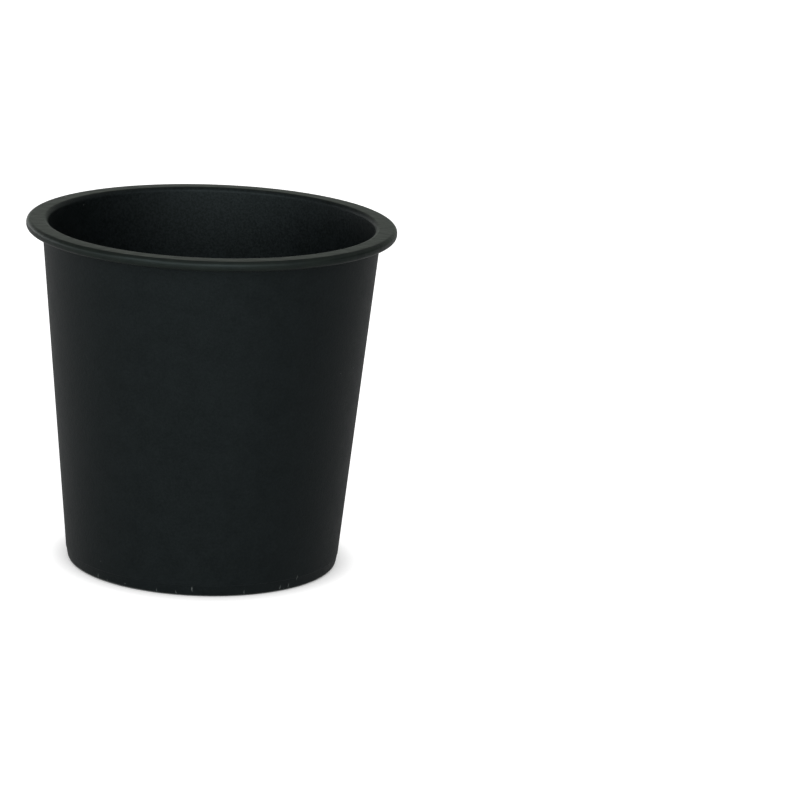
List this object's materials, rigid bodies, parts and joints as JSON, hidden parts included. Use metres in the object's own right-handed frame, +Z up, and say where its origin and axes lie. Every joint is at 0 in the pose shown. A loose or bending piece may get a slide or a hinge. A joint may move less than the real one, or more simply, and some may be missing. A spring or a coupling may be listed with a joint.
{
  "type": "plastic nursery pot",
  "caption": "Round tapered plastic nursery pot with a broad rolled rim, a ribbed recess under the floor and a screwed drain plug.",
  "frame": {"origin": "centre of the foot ring, on the plane that the pot stands on", "axes": "+Z up along the pot's axis; +X and +Y along the ribs under the floor; the drain plug is on the -X -Y side"},
  "size_m": [0.164, 0.164, 0.155],
  "materials": {
    "pot_plastic": "black polypropylene with a fine spark-eroded grain, satin in the light",
    "plug_plastic": "black plastic, smooth and glossy"
  },
  "bodies": {
    "pot_body": {"pot": "pot_plastic"},
    "plug_body": {"drain_plug": "plug_plastic"}
  },
  "joints": [
    {"name": "plug_out", "type": "slide", "parent": "pot_body", "child": "plug_body", "axis": [0, 0, -1], "range_m": [0, 0.018]}
  ]
}
